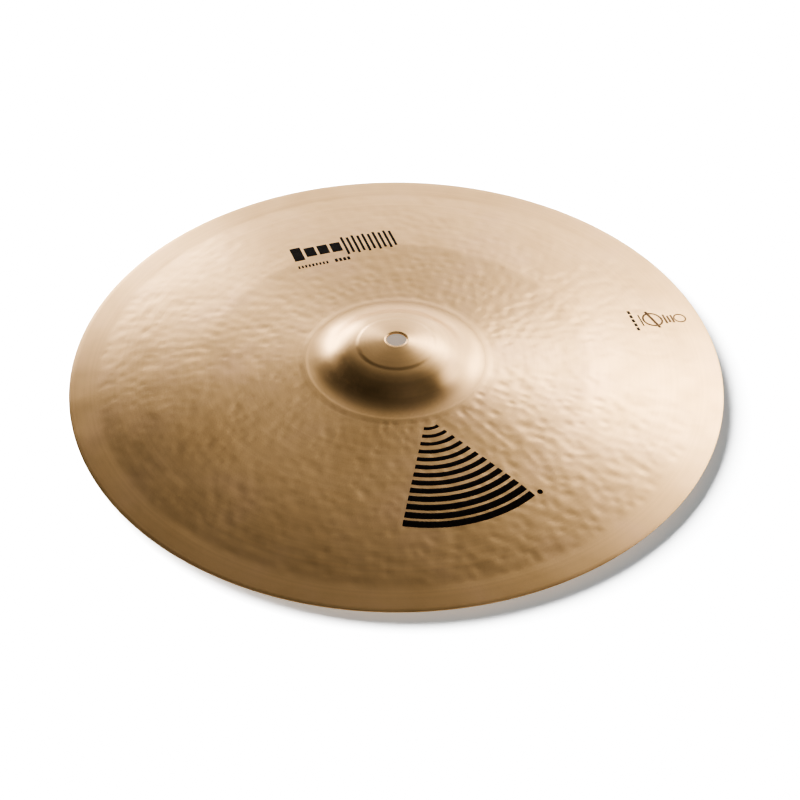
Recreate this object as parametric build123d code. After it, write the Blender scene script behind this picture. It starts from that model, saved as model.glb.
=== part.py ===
from build123d import *
import os

# A 16 inch hand-hammered bronze crash cymbal, bare, lying on its rim.
# Millimetres, +Z up. The origin is the middle of the circle that the rim rests on,
# so every height below is a height above the table top.
# Angles round the disc run anticlockwise from +X, seen from above.

# ---- Disc, from the rim inwards ----
diameter = 406.4
rim_thickness = 0.62
rim_rounding = 0.2
band_width = 15.2  # smooth band between the hammered bow and the rim
band_rise = 2.8
band_thickness = 0.66
outer_bow_rise = 12.9
outer_bow_bulge = 0.83  # how far the arc stands out from its chord
bow_ring_diameter = 240.0  # faint ring where the bow starts to fall faster
bow_ring_thickness = 0.9
inner_bow_rise = 7.16
inner_bow_bulge = 0.275

# ---- Bell ----
bell_diameter = 90.6  # where the lines of bell and bow would meet, inside the wide flare
bell_thickness = 1.25
bell_flare_radius = 28.0
bell_side_rise = 11.84
bell_side_bulge = 1.9
crown_diameter = 47.6  # raised cap round the hole
crown_step = 0.3
crown_step_width = 0.5
crown_rise = 3.5
crown_bulge = 0.23
hole_diameter = 12.7

# ---- Printed marks, all of them plain geometry ----
ink_thickness = 0.05

# Emblem: a fan of arcs that opens from the bell towards the rim.
emblem_angle = -71.0
emblem_from_bell = 11.7  # from where the lines meet to the point of the fan
emblem_opening = 57.0
emblem_arcs = 13
emblem_first_radius = 9.5
emblem_arc_pitch = 6.4
emblem_thinnest_arc = 2.2
emblem_thickest_arc = 4.6
emblem_dot_diameter = 3.4
emblem_dot_gap = 5.0

# Title: heavy blocks, then tall thin strokes.
title_angle = 106.0
title_from_rim = 79.0
block_width = 6.6
block_height = 10.5
first_block_height = 15.5
block_gap = 1.9
block_count = 4
stroke_width = 1.5
stroke_height = 21.0
stroke_gap = 2.0
stroke_count = 10
stroke_height_change = 3.0

# Two small rows of ticks under the title.
row_from_title = 16.5
size_tick_width = 1.1
size_tick_height = 2.6
size_tick_gap = 1.2
size_tick_count = 9
weight_tick_width = 1.7
weight_tick_height = 3.4
weight_tick_gap = 1.0
weight_tick_count = 4
row_gap = 3.5

# Hallmark, burnt into the bronze: a dashed bar, a thin bar, a crossed ring, a wave and a small ring.
hallmark_angle = 19.6
hallmark_from_rim = 45.2  # from the rim to the dashed bar
dash_width = 1.9
dash_length = 2.9
dash_gap = 1.3
dash_count = 5
thin_bar_offset = 5.0
thin_bar_width = 0.9
thin_bar_length = 11.0
big_ring_offset = 13.0
big_ring_diameter = 13.5
big_ring_line = 1.2
cross_bar_width = 1.8
cross_bar_length = 17.0
cross_bar_lean = 14.0
wave_offset = 21.5
wave_bar_pitch = 2.5
wave_bar_width = 1.3
wave_bar_lengths = (9.0, 6.5, 7.5)
small_ring_offset = 31.5
small_ring_diameter = 8.4
small_ring_line = 0.9

# ---- Stations of the disc, as radii and heights of its top surface ----
rim_radius = diameter / 2
band_radius = rim_radius - band_width
bow_ring_radius = bow_ring_diameter / 2
bell_radius = bell_diameter / 2
crown_radius = crown_diameter / 2
crown_foot_radius = crown_radius + crown_step_width
hole_radius = hole_diameter / 2

band_height = rim_thickness + band_rise
bow_ring_height = band_height + outer_bow_rise
bell_height = bow_ring_height + inner_bow_rise
crown_foot_height = bell_height + bell_side_rise
crown_height = crown_foot_height + crown_step
hole_height = crown_height + crown_rise


def bow_line(rim_drop, band_drop, ring_drop, bell_drop):
    """The bow from the bell to the rim, each station lowered by its own drop."""
    bell = (bell_radius, 0, bell_height - bell_drop)
    bow_ring = (bow_ring_radius, 0, bow_ring_height - ring_drop)
    band = (band_radius, 0, band_height - band_drop)
    rim = (rim_radius, 0, rim_thickness - rim_drop)
    inner = arc_over(bell, bow_ring, inner_bow_bulge)
    outer = arc_over(bow_ring, band, outer_bow_bulge)
    return [inner, outer, Line(band, rim)]


def bell_line(drop):
    """The bell from the hole to the bow, lowered by its thickness for the underside."""
    hole = (hole_radius, 0, hole_height - drop)
    crown = (crown_radius, 0, crown_height - drop)
    foot = (crown_foot_radius, 0, crown_foot_height - drop)
    base = (bell_radius, 0, bell_height - drop)
    cap = arc_over(hole, crown, crown_bulge)
    side = arc_over(foot, base, bell_side_bulge)
    return [cap, Line(crown, foot), side]


def arc_over(start, end, bulge):
    """An arc between two points of the profile that stands out above its chord."""
    chord = Vector(end) - Vector(start)
    upward = Vector(-chord.Z, 0, chord.X).normalized()
    middle = (Vector(start) + Vector(end)) / 2 + upward * bulge
    return ThreePointArc(start, middle, end)


def closed_face(top, under):
    """The face between a top line and an under line, joined at both ends."""
    inner_end = Line(top[0] @ 0, under[0] @ 0)
    outer_end = Line(top[-1] @ 1, under[-1] @ 1)
    return make_face([*top, *under, inner_end, outer_end]).face()


def corner(face, radius, height):
    """The corner of a profile face nearest a radius and a height."""
    return face.vertices().sort_by_distance((radius, 0, height))[0]


def make_cymbal_body():
    """The whole bronze disc, turned from one profile that thins towards the rim."""
    top = bell_line(0) + bow_line(0, 0, 0, 0)
    under = bell_line(bell_thickness) + bow_line(
        rim_thickness, band_thickness, bow_ring_thickness, bell_thickness
    )
    profile = closed_face(top, under)
    for height, radius in (
        (bell_height, bell_flare_radius),
        (bell_height - bell_thickness, bell_flare_radius + bell_thickness),
    ):
        profile = profile.fillet_2d(radius, [corner(profile, bell_radius, height)])
    for height in (rim_thickness, 0):
        profile = profile.fillet_2d(rim_rounding, [corner(profile, rim_radius, height)])
    return revolve(profile, Axis.Z)


def make_ink_skin():
    """A film of ink thickness over the whole bow, from which the marks are cut."""
    under = bow_line(0, 0, 0, 0)
    top = [line.moved(Pos(0, 0, ink_thickness)) for line in under]
    return revolve(closed_face(top, under), Axis.Z)


def print_on_bow(marks, skin):
    """Cut flat marks, laid out in plan, from the ink skin."""
    return extrude(marks, hole_height) & skin


def bar(x, y, width, height):
    """A plain rectangle with its lower left corner at x, y."""
    return Pos(x, y) * Rectangle(width, height, align=(Align.MIN, Align.MIN))


def ring(x, y, diameter, line):
    """A ring of one line width."""
    outer = Circle(diameter / 2)
    return Pos(x, y) * (outer - Circle(diameter / 2 - line))


def make_emblem():
    """Fan of arcs that thicken towards the rim, with a dot beside the last one."""
    half = emblem_opening / 2
    last = emblem_arcs - 1
    reach = emblem_first_radius + emblem_arc_pitch * emblem_arcs
    wedge = make_face(
        Polyline(
            (0, 0),
            Vector(0, -2 * reach).rotate(Axis.Z, -half),
            Vector(0, -2 * reach).rotate(Axis.Z, half),
            (0, 0),
        )
    )
    marks = Sketch()
    for index in range(emblem_arcs):
        line = emblem_thinnest_arc + (emblem_thickest_arc - emblem_thinnest_arc) * index / last
        middle = emblem_first_radius + emblem_arc_pitch * index
        marks += ring(0, 0, 2 * middle + line, line) & wedge
    dot_place = Vector(0, -(emblem_first_radius + emblem_arc_pitch * last))
    dot_place = dot_place.rotate(Axis.Z, half) + Vector(emblem_dot_gap, 0)
    marks += Pos(dot_place.X, dot_place.Y) * Circle(emblem_dot_diameter / 2)
    return Rot(0, 0, emblem_angle + 90) * Pos(0, -(bell_radius + emblem_from_bell)) * marks


def title_frame():
    """Where the title stands: its own +Y points to the rim."""
    return Rot(0, 0, title_angle - 90) * Pos(0, rim_radius - title_from_rim)


def make_title():
    """Heavy blocks of which the first is taller, then a row of tall strokes."""
    block_pitch = block_width + block_gap
    stroke_pitch = stroke_width + stroke_gap
    block_run = block_pitch * block_count
    length = block_run + stroke_pitch * stroke_count - stroke_gap
    marks = Sketch()
    for index in range(block_count):
        tall = first_block_height if index == 0 else block_height
        marks += bar(index * block_pitch, -tall / 2, block_width, tall)
    for index in range(stroke_count):
        tall = stroke_height - stroke_height_change * (index % 2)
        marks += bar(block_run + index * stroke_pitch, -tall / 2, stroke_width, tall)
    return title_frame() * Pos(-length / 2, 0) * marks


def tick_row(width, height, gap, count):
    """A row of equal ticks that starts at the origin."""
    marks = Sketch()
    for index in range(count):
        marks += bar(index * (width + gap), 0, width, height)
    return marks


def rows_frame():
    """The left end of the two small rows, under the title's blocks."""
    block_run = (block_width + block_gap) * block_count
    strokes = (stroke_width + stroke_gap) * stroke_count - stroke_gap
    return title_frame() * Pos(-(block_run + strokes) / 2, -row_from_title)


def make_size_row():
    """Thin ticks."""
    ticks = tick_row(size_tick_width, size_tick_height, size_tick_gap, size_tick_count)
    return rows_frame() * ticks


def make_weight_row():
    """Thick ticks that follow the thin ones."""
    start = (size_tick_width + size_tick_gap) * size_tick_count + row_gap
    ticks = tick_row(weight_tick_width, weight_tick_height, weight_tick_gap, weight_tick_count)
    return rows_frame() * Pos(start, 0) * ticks


def make_hallmark():
    """The burnt mark, laid out along the radius with +X towards the rim."""
    dash_pitch = dash_length + dash_gap
    dash_run = dash_pitch * dash_count - dash_gap
    marks = Sketch()
    for index in range(dash_count):
        marks += bar(-dash_width / 2, index * dash_pitch - dash_run / 2, dash_width, dash_length)
    marks += Pos(thin_bar_offset, 0) * Rectangle(thin_bar_width, thin_bar_length)
    marks += ring(big_ring_offset, 0, big_ring_diameter, big_ring_line)
    marks += Pos(big_ring_offset, 0) * Rot(0, 0, cross_bar_lean) * Rectangle(
        cross_bar_width, cross_bar_length
    )
    for index, length in enumerate(wave_bar_lengths):
        marks += Pos(wave_offset + index * wave_bar_pitch, 0) * Rectangle(wave_bar_width, length)
    marks += ring(small_ring_offset, 0, small_ring_diameter, small_ring_line)
    return Rot(0, 0, hallmark_angle) * Pos(rim_radius - hallmark_from_rim, 0) * marks


skin = make_ink_skin()
nodes = {
    "cymbal_body": make_cymbal_body(),
    "emblem_print": print_on_bow(make_emblem(), skin),
    "title_print": print_on_bow(make_title(), skin),
    "size_print": print_on_bow(make_size_row(), skin),
    "weight_print": print_on_bow(make_weight_row(), skin),
    "hallmark_stamp": print_on_bow(make_hallmark(), skin),
}

os.makedirs("parts", exist_ok=True)
for name, shape in nodes.items():
    export_step(shape, f"parts/{name}.step")
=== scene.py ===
import math
import random

import bmesh
import bpy
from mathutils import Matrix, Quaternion, Vector, kdtree, noise
from mathutils.bvhtree import BVHTree


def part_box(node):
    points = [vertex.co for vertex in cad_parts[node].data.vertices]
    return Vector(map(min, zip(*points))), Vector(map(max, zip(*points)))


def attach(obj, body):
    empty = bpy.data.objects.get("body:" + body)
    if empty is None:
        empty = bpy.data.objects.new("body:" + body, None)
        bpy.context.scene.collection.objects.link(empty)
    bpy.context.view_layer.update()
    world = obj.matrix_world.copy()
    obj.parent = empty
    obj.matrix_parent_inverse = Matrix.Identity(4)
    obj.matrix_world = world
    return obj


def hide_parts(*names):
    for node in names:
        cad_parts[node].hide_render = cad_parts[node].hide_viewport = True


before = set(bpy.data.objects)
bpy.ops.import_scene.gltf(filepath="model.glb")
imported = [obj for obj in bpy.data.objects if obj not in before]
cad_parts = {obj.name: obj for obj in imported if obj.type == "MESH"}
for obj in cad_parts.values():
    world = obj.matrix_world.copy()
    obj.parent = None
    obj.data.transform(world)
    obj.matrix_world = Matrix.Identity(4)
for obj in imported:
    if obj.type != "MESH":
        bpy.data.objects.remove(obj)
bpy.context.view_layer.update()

MM = 0.001
SCENE = bpy.context.scene

# A crash cymbal of cast bronze: a turned disc with hammer marks, printed marks on its bow,
# a white floor, soft lights and the camera. Metres, +Z up, the rim rests at height 0.
# The camera looks from -Y.

# ---- Disc: the stations of its turned profile, with heights of the top surface ----
body_low, body_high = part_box("cymbal_body")
RIM_RADIUS = (body_high[0] - body_low[0]) / 2
HOLE_TOP = body_high[2]
HOLE_RADIUS = 6.35 * MM
CROWN_RADIUS = 23.8 * MM
CROWN_STEP_WIDTH = 0.5 * MM
CROWN_STEP = 0.3 * MM
CROWN_FOOT_RADIUS = CROWN_RADIUS + CROWN_STEP_WIDTH
BELL_RADIUS = 45.3 * MM  # where the lines of bell and bow would meet, inside the flare
BOW_RING_RADIUS = 120.0 * MM
BAND_WIDTH = 15.2 * MM
BAND_RADIUS = RIM_RADIUS - BAND_WIDTH

RIM_THICKNESS = 0.62 * MM
BAND_THICKNESS = 0.66 * MM
BOW_RING_THICKNESS = 0.9 * MM
BELL_THICKNESS = 1.25 * MM

CROWN_RISE = 3.5 * MM
BELL_SIDE_RISE = 11.84 * MM
INNER_BOW_RISE = 7.16 * MM
OUTER_BOW_RISE = 12.9 * MM
CROWN_HEIGHT = HOLE_TOP - CROWN_RISE
CROWN_FOOT_HEIGHT = CROWN_HEIGHT - CROWN_STEP
BELL_HEIGHT = CROWN_FOOT_HEIGHT - BELL_SIDE_RISE
BOW_RING_HEIGHT = BELL_HEIGHT - INNER_BOW_RISE
BAND_HEIGHT = BOW_RING_HEIGHT - OUTER_BOW_RISE

CROWN_BULGE = 0.23 * MM  # how far an arc stands out above its chord, here and below
BELL_SIDE_BULGE = 1.9 * MM
INNER_BOW_BULGE = 0.275 * MM
OUTER_BOW_BULGE = 0.83 * MM
FLARE_RADIUS = 28.0 * MM  # of the hollow arc between bell and bow

FOOT_RING_RADIUS = 55.9 * MM  # fine raised ring at the foot of the bell
FOOT_RING_WIDTH = 1.6 * MM  # on each side of its crest
FOOT_RING_HEIGHT = 0.05 * MM

# ---- Mesh of the disc ----
SPIN_STEPS = 512  # keeps the disc under 200,000 triangles
BELL_RING_STEP = 1.5 * MM
BOW_RING_STEP = 1.68 * MM
BAND_RING_STEP = 2.6 * MM
UNDER_RING_STEP = 3.6 * MM
FOOT_RING_STEP = FOOT_RING_WIDTH / 3
RIM_ROUNDING = 0.2 * MM
MERGE_DISTANCE = 0.002 * MM

# ---- Hammering ----
HAMMER_SEED = 16
HAMMER_ROW = 6.4 * MM  # between rows
HAMMER_PITCH = 7.4 * MM  # along a row
HAMMER_SMALLEST = 3.0 * MM  # radius of a mark
HAMMER_LARGEST = 5.4 * MM
HAMMER_SHALLOWEST = 0.03 * MM
HAMMER_DEEPEST = 0.17 * MM
HAMMER_SCATTER = 0.34  # of the pitch and of the row
HAMMER_START = 60.0 * MM
HAMMER_FADE = 2.5 * MM  # over which the marks die away at both ends of the bow
WAVINESS = ((0.12 * MM, 52.0 * MM), (0.07 * MM, 19.0 * MM))  # height and length of each swell

# ---- Prints ----
INK_FACE_LENGTH = 1.8 * MM
INK_CUTS = 3  # rounds in which longer edges are halved
INK_LIFT = 0.06 * MM  # top of the film over the bronze
INK_SINK = 0.02 * MM  # its underside, a little inside the bronze
BLACK_PRINTS = ("emblem_print", "title_print", "size_print", "weight_print")

# ---- Looks ----
PATCH_SCALE = 26.0  # noise scales are per metre
STREAK_SCALE = 420.0
SMEAR_SCALE = 60.0
INK_SCALE = 900.0
STAMP_MOTTLE_SCALE = 700.0
PAINT_SCALE = 3.0
BRONZE_ROUGHNESS = (0.33, 0.42)
BRONZE_ANISOTROPY = 0.65
STREAK_SHADE = (0.95, 1.04)
GROOVE_STRENGTH = 0.25
GROOVE_DEPTH = 0.02 * MM
INNER_BOW_PAINTED_SHADE = 0.92  # painted shade: the inner bow is coloured a little darker than the outer bow and the bell
INNER_BOW_END = (117.0 * MM, 121.0 * MM)  # radii over which the painted shade changes
INNER_BOW_START = (56.0 * MM, 60.0 * MM)
STAMP_SHADE_SPAN = (157.0 * MM, 192.0 * MM)  # radii from the darkest painted shade of the stamp to the lightest
STAMP_MOTTLE = 0.12
INK_ROUGHNESS = (0.55, 0.75)

# ---- Floor and camera ----
FLOOR_GAP = 8.0 * MM  # the disc floats this far over its shadow
FLOOR_RADIUS = 30.0
FLOOR_SEGMENTS = 96
CAMERA_DISTANCE = 3.0
CAMERA_ELEVATION = math.radians(41.116)
CAMERA_ROLL = math.radians(0.188)
CAMERA_AIM = Vector((2.36, -13.03, 0.62)) * MM
CAMERA_SENSOR = 36.0
CAMERA_LENS = 218.05
CAMERA_SIGHT = 50.0

# ---- Light: azimuth and elevation in degrees, width and height in metres, radiance ----
CARD_DISTANCE = 2.5
CARDS = (
    ("low_left_card", -27, 8, 1.2, 0.7, 6.2),
    ("low_middle_card", 0, 10, 1.2, 0.7, 0.9),
    ("low_right_card", 35, 9, 2.2, 0.7, 1.4),
    ("middle_back_card", -5, 24, 1.4, 0.6, 1.1),
    ("right_back_card", 25, 36, 1.0, 0.7, 5.2),
    ("right_card", 52, 28, 1.1, 1.3, 1.3),
    ("far_right_card", 78, 28, 1.1, 1.2, 2.0),
    ("upper_card", 12, 53, 2.2, 0.8, 0.5),
    ("top_card", 0, 75, 2.2, 1.0, 0.1),
    ("front_right_card", 145, 38, 1.2, 0.8, 0.45),
    ("front_card", 180, 30, 2.4, 0.8, 0.6),
)
FLOOR_KEY = (-58, 33, 2.6, 2.6, 32.0)
FLOOR_GLOW = 0.22  # keeps the shadow from going black
GLOW_COLOUR = (0.8, 0.93, 1.0, 1)  # cool, against the warm light under the bronze
HORIZON_RADIANCE = 1.0
HORIZON_BRIGHT_TO = 9  # degrees of elevation, up to which the band is at its palest
HORIZON_DARK_FROM = 19
ROOM_RADIANCE = 0.02


def between(start, end, share):
    """A number part of the way from one to another."""
    return start + (end - start) * share


def smooth_share(value, start, end):
    """0 before start and 1 after end, with a smooth climb."""
    share = min(max((value - start) / (end - start), 0), 1)
    return share * share * (3 - 2 * share)


def arched(radius, start, end, bulge):
    """Height on a shallow arch between two stations, each a radius and a height."""
    share = (radius - start[0]) / (end[0] - start[0])
    return between(start[1], end[1], share) + 4 * bulge * share * (1 - share)


def bow_height(radius):
    """Top of the bow without its hammer marks: inner bow, outer bow, band."""
    ring = (BOW_RING_RADIUS, BOW_RING_HEIGHT)
    band = (BAND_RADIUS, BAND_HEIGHT)
    if radius < BOW_RING_RADIUS:
        return arched(radius, (BELL_RADIUS, BELL_HEIGHT), ring, INNER_BOW_BULGE)
    if radius < BAND_RADIUS:
        return arched(radius, ring, band, OUTER_BOW_BULGE)
    return arched(radius, band, (RIM_RADIUS, RIM_THICKNESS), 0)


def side_circle():
    """Middle and radius of the arc that the bell's side follows."""
    foot = Vector((CROWN_FOOT_RADIUS, CROWN_FOOT_HEIGHT))
    corner = Vector((BELL_RADIUS, BELL_HEIGHT))
    chord = corner - foot
    radius = (chord.length_squared / 4 + BELL_SIDE_BULGE**2) / (2 * BELL_SIDE_BULGE)
    outward = Vector((-chord.y, chord.x)).normalized()
    return (foot + corner) / 2 - outward * (radius - BELL_SIDE_BULGE), radius


def flare_circle(side_middle, side_radius):
    """Middle of the arc that touches the bell's side and the bow, and where it meets them."""
    corner = Vector((BELL_RADIUS, BELL_HEIGHT))
    run = BOW_RING_RADIUS - BELL_RADIUS
    slope = (BELL_HEIGHT - BOW_RING_HEIGHT - 4 * INNER_BOW_BULGE) / run
    along = Vector((1, -slope)).normalized()
    above = corner + Vector((-along.y, along.x)) * FLARE_RADIUS
    apart = above - side_middle
    reach = apart.dot(along)
    span = side_radius + FLARE_RADIUS
    step = math.sqrt(reach**2 - apart.length_squared + span**2) - reach
    middle = above + along * step
    side_end = side_middle + (middle - side_middle) * side_radius / span
    return middle, side_end.x, (corner + along * step).x


SIDE_MIDDLE, SIDE_RADIUS = side_circle()
FLARE_MIDDLE, FLARE_START, FLARE_END = flare_circle(SIDE_MIDDLE, SIDE_RADIUS)


def top_height(radius):
    """Top of the turned disc: cap, step, bell, flare, ring at its foot, and bow."""
    crown = (CROWN_RADIUS, CROWN_HEIGHT)
    if radius < CROWN_RADIUS:
        return arched(radius, (HOLE_RADIUS, HOLE_TOP), crown, CROWN_BULGE)
    if radius < CROWN_FOOT_RADIUS:
        return arched(radius, crown, (CROWN_FOOT_RADIUS, CROWN_FOOT_HEIGHT), 0)
    if radius < FLARE_START:
        return SIDE_MIDDLE.y + math.sqrt(SIDE_RADIUS**2 - (radius - SIDE_MIDDLE.x) ** 2)
    if radius < FLARE_END:
        smooth = FLARE_MIDDLE.y - math.sqrt(FLARE_RADIUS**2 - (radius - FLARE_MIDDLE.x) ** 2)
    else:
        smooth = bow_height(radius)
    off_ring = min(abs(radius - FOOT_RING_RADIUS) / FOOT_RING_WIDTH, 1)
    return smooth + FOOT_RING_HEIGHT * (1 - off_ring**2) ** 2


def thickness(radius):
    """The bronze thins from the bell to the rim."""
    if radius < BELL_RADIUS:
        return BELL_THICKNESS
    if radius < BOW_RING_RADIUS:
        share = (radius - BELL_RADIUS) / (BOW_RING_RADIUS - BELL_RADIUS)
        return between(BELL_THICKNESS, BOW_RING_THICKNESS, share)
    if radius < BAND_RADIUS:
        share = (radius - BOW_RING_RADIUS) / (BAND_RADIUS - BOW_RING_RADIUS)
        return between(BOW_RING_THICKNESS, BAND_THICKNESS, share)
    share = (radius - BAND_RADIUS) / BAND_WIDTH
    return between(BAND_THICKNESS, RIM_THICKNESS, share)


def rings(start, end, step):
    """Evenly spaced radii from start up to, but without, end."""
    count = max(1, round((end - start) / step))
    return [between(start, end, index / count) for index in range(count)]


def rim_points():
    """The two rounded corners of the rim, from its top to its underside."""
    points = []
    for middle, turns in (
        (RIM_THICKNESS - RIM_ROUNDING, (90, 45, 0)),
        (RIM_ROUNDING, (0, -45, -90)),
    ):
        for turn in turns:
            corner = math.radians(turn)
            radius = RIM_RADIUS - RIM_ROUNDING * (1 - math.cos(corner))
            points.append((radius, middle + RIM_ROUNDING * math.sin(corner)))
    return points


def profile_points():
    """The closed outline of the disc, out along the top and back underneath."""
    ring_in = FOOT_RING_RADIUS - FOOT_RING_WIDTH
    ring_out = FOOT_RING_RADIUS + FOOT_RING_WIDTH
    top_radii = rings(HOLE_RADIUS, CROWN_RADIUS, BELL_RING_STEP)
    top_radii += rings(CROWN_RADIUS, CROWN_FOOT_RADIUS, CROWN_STEP_WIDTH)
    top_radii += rings(CROWN_FOOT_RADIUS, ring_in, BELL_RING_STEP)
    top_radii += rings(ring_in, ring_out, FOOT_RING_STEP)
    top_radii += rings(ring_out, BAND_RADIUS, BOW_RING_STEP)
    top_radii += rings(BAND_RADIUS, RIM_RADIUS - RIM_ROUNDING, BAND_RING_STEP)
    points = [(radius, top_height(radius)) for radius in top_radii]
    points += rim_points()
    under_radii = rings(HOLE_RADIUS, CROWN_FOOT_RADIUS, UNDER_RING_STEP)
    under_radii += rings(CROWN_FOOT_RADIUS, ring_out, UNDER_RING_STEP / 2)
    under_radii += rings(ring_out, RIM_RADIUS - 2 * RIM_ROUNDING, UNDER_RING_STEP)
    for radius in reversed(under_radii):
        points.append((radius, top_height(radius) - thickness(radius)))
    return points


def hammer_marks():
    """Seeded hammer blows in rows round the bow: middle, radius and depth of each."""
    dice = random.Random(HAMMER_SEED)
    marks = []
    row = HAMMER_START
    while row < BAND_RADIUS:
        count = round(2 * math.pi * row / HAMMER_PITCH)
        first = dice.random()
        for index in range(count):
            angle = 2 * math.pi * (index + first + dice.uniform(-1, 1) * HAMMER_SCATTER) / count
            reach = row + dice.uniform(-1, 1) * HAMMER_SCATTER * HAMMER_ROW
            size = dice.uniform(HAMMER_SMALLEST, HAMMER_LARGEST)
            depth = dice.uniform(HAMMER_SHALLOWEST, HAMMER_DEEPEST)
            middle = Vector((reach * math.cos(angle), reach * math.sin(angle), 0))
            marks.append((middle, size, depth))
        row += HAMMER_ROW
    return marks


class Hammering:
    """How far the hammered surface lies under the turned one."""

    def __init__(self):
        self.marks = hammer_marks()
        self.tree = kdtree.KDTree(len(self.marks))
        for index, (middle, _, _) in enumerate(self.marks):
            self.tree.insert(middle, index)
        self.tree.balance()

    def drop(self, x, y):
        """Depth at one place: the blows that reach it, and the long swells."""
        place = Vector((x, y, 0))
        radius = place.length
        share = smooth_share(radius, HAMMER_START - HAMMER_FADE, HAMMER_START)
        share *= 1 - smooth_share(radius, BAND_RADIUS - HAMMER_FADE, BAND_RADIUS)
        if share == 0:
            return 0
        depth = 0
        for _, index, distance in self.tree.find_range(place, HAMMER_LARGEST):
            _, size, blow = self.marks[index]
            if distance < size:
                depth += blow * (1 - (distance / size) ** 2) ** 2
        for height, length in WAVINESS:
            depth += height * (1 + noise.noise(place / length))
        return depth * share


def new_piece(name, shape, material):
    """A finished mesh as an object that rides on the disc's body."""
    mesh = bpy.data.meshes.new(name)
    shape.to_mesh(mesh)
    shape.free()
    for face in mesh.polygons:
        face.use_smooth = True
    mesh.materials.append(material)
    piece = bpy.data.objects.new(name, mesh)
    SCENE.collection.objects.link(piece)
    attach(piece, "root")
    return piece


def make_hammered_disc(material):
    """The bronze disc: one closed profile, spun round the hole and hammered."""
    disc = bmesh.new()
    outline = [disc.verts.new((radius, 0, height)) for radius, height in profile_points()]
    for start, end in zip(outline, outline[1:] + outline[:1]):
        disc.edges.new((start, end))
    bmesh.ops.spin(
        disc,
        geom=disc.verts[:] + disc.edges[:],
        cent=(0, 0, 0),
        axis=(0, 0, 1),
        angle=2 * math.pi,
        steps=SPIN_STEPS,
        use_merge=True,
    )
    bmesh.ops.remove_doubles(disc, verts=disc.verts, dist=MERGE_DISTANCE)
    bmesh.ops.recalc_face_normals(disc, faces=disc.faces)
    hammering = Hammering()
    for point in disc.verts:
        point.co.z -= hammering.drop(point.co.x, point.co.y)
    piece = new_piece("hammered_disc", disc, material)
    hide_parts("cymbal_body")
    return piece


def lay_print(node, bow, material):
    """A printed film cut finely enough to follow the hammer marks, laid on the bow."""
    film = bmesh.new()
    film.from_mesh(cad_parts[node].data)
    bmesh.ops.remove_doubles(film, verts=film.verts, dist=MERGE_DISTANCE)
    for _ in range(INK_CUTS):
        long_edges = [edge for edge in film.edges if edge.calc_length() > INK_FACE_LENGTH]
        bmesh.ops.subdivide_edges(film, edges=long_edges, cuts=1)
        bmesh.ops.triangulate(film, faces=film.faces)
    film.normal_update()
    upper = {point for face in film.faces if face.normal.z > 0.5 for point in face.verts}
    for point in film.verts:
        above = Vector((point.co.x, point.co.y, HOLE_TOP + 1))
        hit, _, _, _ = bow.ray_cast(above, Vector((0, 0, -1)))
        point.co.z = hit.z + (INK_LIFT if point in upper else -INK_SINK)
    piece = new_piece(node + "_film", film, material)
    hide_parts(node)


class Nodes:
    """Short calls for building one material's nodes."""

    def __init__(self, name):
        self.material = bpy.data.materials.new(name)
        self.material.use_nodes = True
        self.tree = self.material.node_tree
        self.shader = self.tree.nodes["Principled BSDF"]
        self.place = self.add("ShaderNodeTexCoord").outputs["Object"]

    def add(self, kind, inputs=None, **settings):
        """A new node, with its settings and with values or links for its inputs."""
        node = self.tree.nodes.new(kind)
        for name, value in settings.items():
            setattr(node, name, value)
        for key, value in (inputs or {}).items():
            self.set(node.inputs[key], value)
        return node

    def set(self, socket, value):
        """Link another node's output to an input, or give it a value."""
        if isinstance(value, bpy.types.NodeSocket):
            self.tree.links.new(value, socket)
        else:
            socket.default_value = value

    def shade(self, **values):
        """Values or links for the shader's inputs, with underscores for spaces."""
        for name, value in values.items():
            self.set(self.shader.inputs[name.replace("_", " ")], value)

    def math(self, operation, first, second):
        return self.add("ShaderNodeMath", {0: first, 1: second}, operation=operation).outputs[0]

    def noise(self, scale, detail=2.0):
        """Smooth noise through the object's space."""
        inputs = {"Vector": self.place, "Scale": scale, "Detail": detail}
        return self.add("ShaderNodeTexNoise", inputs).outputs["Fac"]

    def ramp(self, value, *stops):
        """A colour from a 0 to 1 value, each stop a position and a colour."""
        node = self.add("ShaderNodeValToRGB", {"Fac": value})
        elements = node.color_ramp.elements
        while len(elements) < len(stops):
            elements.new(0.5)
        for element, (position, colour) in zip(elements, stops):
            element.position = position
            element.color = (*colour, 1)
        return node.outputs["Color"]

    def stretch(self, value, low, high):
        """A 0 to 1 value stretched to a new range."""
        return self.across(value, (0.0, 1.0), low, high)

    def across(self, value, span, low, high):
        """Low before the span, high after it, and evenly between them within it."""
        inputs = {
            "Value": value,
            "From Min": span[0],
            "From Max": span[1],
            "To Min": low,
            "To Max": high,
        }
        return self.add("ShaderNodeMapRange", inputs).outputs["Result"]


def flat_and_radius(nodes):
    """The place without its height, and its distance from the disc's axis in metres."""
    split = nodes.add("ShaderNodeSeparateXYZ", {0: nodes.place})
    flat = nodes.add("ShaderNodeCombineXYZ", {0: split.outputs[0], 1: split.outputs[1]})
    length = nodes.add("ShaderNodeVectorMath", {0: flat.outputs[0]}, operation="LENGTH")
    return flat.outputs[0], length.outputs["Value"]


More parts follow.
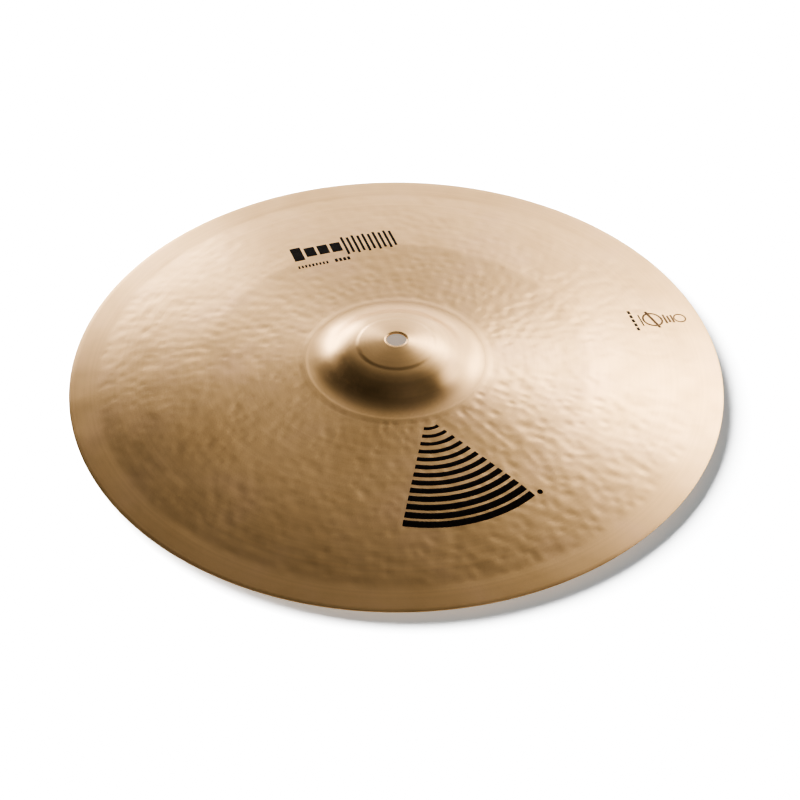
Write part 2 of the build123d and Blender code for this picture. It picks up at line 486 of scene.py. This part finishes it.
def lathed_bronze():
    """Cast bronze, turned in fine rings, so that its shine spreads along the radius, with painted
    shade on the inner bow.
    """
    nodes = Nodes("lathed_bronze")
    flat, radius = flat_and_radius(nodes)
    patches = nodes.noise(PATCH_SCALE, detail=3.0)
    streaks = nodes.add(
        "ShaderNodeTexNoise",
        {"W": radius, "Scale": STREAK_SCALE, "Detail": 3.0},
        noise_dimensions="1D",
    )
    colour = nodes.ramp(
        patches,
        (0.30, (0.83, 0.550, 0.285)),
        (0.52, (0.88, 0.590, 0.315)),
        (0.72, (0.90, 0.600, 0.340)),
    )
    # Painted shade: the inner bow, from the foot of the bell out to the bow ring, is coloured a
    # little darker.
    inner_bow_painted_shade = nodes.across(radius, INNER_BOW_END, INNER_BOW_PAINTED_SHADE, 1.0)
    bell = nodes.across(radius, INNER_BOW_START, 1.0, 0.0)
    streaks_and_painted_shade = nodes.stretch(streaks.outputs["Fac"], *STREAK_SHADE)
    streaks_and_painted_shade = nodes.math("MULTIPLY", streaks_and_painted_shade, nodes.math("MAXIMUM", inner_bow_painted_shade, bell))
    shaded = nodes.add("ShaderNodeVectorMath", {0: colour, 1: streaks_and_painted_shade}, operation="MULTIPLY")
    rough = nodes.stretch(nodes.noise(SMEAR_SCALE), *BRONZE_ROUGHNESS)
    grooves = nodes.add(
        "ShaderNodeBump",
        {
            "Strength": GROOVE_STRENGTH,
            "Distance": GROOVE_DEPTH,
            "Height": streaks.outputs["Fac"],
        },
    )
    nodes.shade(
        Base_Color=shaded.outputs[0],
        Metallic=1.0,
        Roughness=rough,
        Anisotropic=BRONZE_ANISOTROPY,
        Tangent=flat,
        Normal=grooves.outputs["Normal"],
    )
    return nodes.material


def printed_ink():
    """Black screen ink: nearly matt, a little uneven where the screen laid it thin."""
    nodes = Nodes("printed_ink")
    coverage = nodes.noise(INK_SCALE)
    colour = nodes.ramp(
        coverage, (0.25, (0.034, 0.019, 0.009)), (0.60, (0.014, 0.008, 0.004))
    )
    rough = nodes.stretch(coverage, *INK_ROUGHNESS)
    nodes.shade(Base_Color=colour, Roughness=rough, Specular_IOR_Level=0.15)
    return nodes.material


def burnt_bronze():
    """Bronze of the stamped mark, coloured brown as painted shade for its stamped lines, darkest
    at the inner end of the mark.
    """
    nodes = Nodes("burnt_bronze")
    _, radius = flat_and_radius(nodes)
    # Painted shade for the stamped lines: darker towards the inner end of the mark, with a little
    # mottle.
    along = nodes.across(radius, STAMP_SHADE_SPAN, 0.0, 1.0)
    mottle = nodes.stretch(nodes.noise(STAMP_MOTTLE_SCALE, detail=3.0), -STAMP_MOTTLE, STAMP_MOTTLE)
    tone = nodes.math("ADD", along, mottle)
    colour = nodes.ramp(
        tone,
        (0.0, (0.035, 0.022, 0.010)),
        (0.30, (0.16, 0.090, 0.040)),
        (1.0, (0.34, 0.205, 0.095)),
    )
    nodes.shade(Base_Color=colour, Metallic=0.6, Roughness=0.5)
    return nodes.material


def white_floor():
    """Plain white paint with the faintest unevenness, and a faint painted glow of its own that
    keeps the shadow from going black.
    """
    nodes = Nodes("white_floor")
    colour = nodes.ramp(
        nodes.noise(PAINT_SCALE), (0.3, (0.90, 0.90, 0.90)), (0.7, (0.92, 0.92, 0.92))
    )
    nodes.shade(Base_Color=colour, Roughness=0.9)
    # Painted glow: the floor gives off a little cool light of its own.
    nodes.shade(Emission_Color=GLOW_COLOUR, Emission_Strength=FLOOR_GLOW)
    return nodes.material


def make_floor():
    """A wide round floor a little under the rim, which fills the picture."""
    sheet = bmesh.new()
    bmesh.ops.create_circle(sheet, cap_ends=True, segments=FLOOR_SEGMENTS, radius=FLOOR_RADIUS)
    bmesh.ops.translate(sheet, verts=sheet.verts, vec=(0, 0, -FLOOR_GAP))
    mesh = bpy.data.meshes.new("floor")
    sheet.to_mesh(mesh)
    sheet.free()
    mesh.materials.append(white_floor())
    floor = bpy.data.objects.new("floor", mesh)
    SCENE.collection.objects.link(floor)
    return floor


def make_camera():
    """Looks down on the disc from the front with a long lens."""
    data = bpy.data.cameras.new("camera")
    data.sensor_width = CAMERA_SENSOR
    data.lens = CAMERA_LENS
    data.clip_end = CAMERA_SIGHT
    camera = bpy.data.objects.new("camera", data)
    SCENE.collection.objects.link(camera)
    back = Vector((0, -math.cos(CAMERA_ELEVATION), math.sin(CAMERA_ELEVATION)))
    camera.location = CAMERA_AIM + back * CAMERA_DISTANCE
    camera.rotation_mode = "QUATERNION"
    camera.rotation_quaternion = back.to_track_quat("Z", "Y") @ Quaternion((0, 0, 1), CAMERA_ROLL)
    SCENE.camera = camera


def soft_light(name, azimuth, elevation, width, height, radiance):
    """A soft rectangular card that faces the disc. Azimuth 0 is behind it, 90 at its right."""
    data = bpy.data.lights.new(name, "AREA")
    data.shape = "RECTANGLE"
    data.size = width
    data.size_y = height
    data.energy = radiance * math.pi * width * height
    light = bpy.data.objects.new(name, data)
    SCENE.collection.objects.link(light)
    turn = math.radians(azimuth)
    rise = math.radians(elevation)
    away = Vector(
        (math.sin(turn) * math.cos(rise), math.cos(turn) * math.cos(rise), math.sin(rise))
    )
    light.location = away * CARD_DISTANCE
    light.rotation_mode = "QUATERNION"
    light.rotation_quaternion = away.to_track_quat("Z", "Y")
    return light


def make_room():
    """A dark room with a pale band round the horizon."""
    room = bpy.data.worlds.new("room")
    room.use_nodes = True
    tree = room.node_tree
    place = tree.nodes.new("ShaderNodeTexCoord")
    split = tree.nodes.new("ShaderNodeSeparateXYZ")
    fade = tree.nodes.new("ShaderNodeMapRange")
    fade.interpolation_type = "SMOOTHSTEP"
    fade.inputs["From Min"].default_value = math.sin(math.radians(HORIZON_BRIGHT_TO))
    fade.inputs["From Max"].default_value = math.sin(math.radians(HORIZON_DARK_FROM))
    fade.inputs["To Min"].default_value = HORIZON_RADIANCE
    fade.inputs["To Max"].default_value = ROOM_RADIANCE
    tree.links.new(place.outputs["Generated"], split.inputs[0])
    tree.links.new(split.outputs["Z"], fade.inputs["Value"])
    tree.links.new(fade.outputs["Result"], tree.nodes["Background"].inputs["Strength"])
    tree.nodes["Background"].inputs["Color"].default_value = (1, 1, 1, 1)
    SCENE.world = room


def light_the_set(floor):
    """The room, soft cards for the disc alone, a key for the floor alone, and the display look."""
    make_room()
    unlit_by_cards = bpy.data.collections.new("unlit_by_cards")
    unlit_by_cards.objects.link(floor)
    unlit_by_cards.collection_objects[0].light_linking.link_state = "EXCLUDE"
    for name, azimuth, elevation, width, height, radiance in CARDS:
        card = soft_light(name, azimuth, elevation, width, height, radiance)
        card.light_linking.receiver_collection = unlit_by_cards
    key = soft_light("floor_key", *FLOOR_KEY)
    key.data.cycles.max_bounces = 0  # so that the floor throws none of it up at the bronze
    lit_by_key = bpy.data.collections.new("lit_by_key")
    lit_by_key.objects.link(floor)
    key.light_linking.receiver_collection = lit_by_key
    SCENE.view_settings.view_transform = "AgX"
    SCENE.view_settings.look = "AgX - Very High Contrast"


disc_piece = make_hammered_disc(lathed_bronze())
bow_surface = BVHTree.FromPolygons(
    [point.co for point in disc_piece.data.vertices],
    [face.vertices[:] for face in disc_piece.data.polygons],
)
ink = printed_ink()
for print_name in BLACK_PRINTS:
    lay_print(print_name, bow_surface, ink)
lay_print("hallmark_stamp", bow_surface, burnt_bronze())
light_the_set(make_floor())
make_camera()
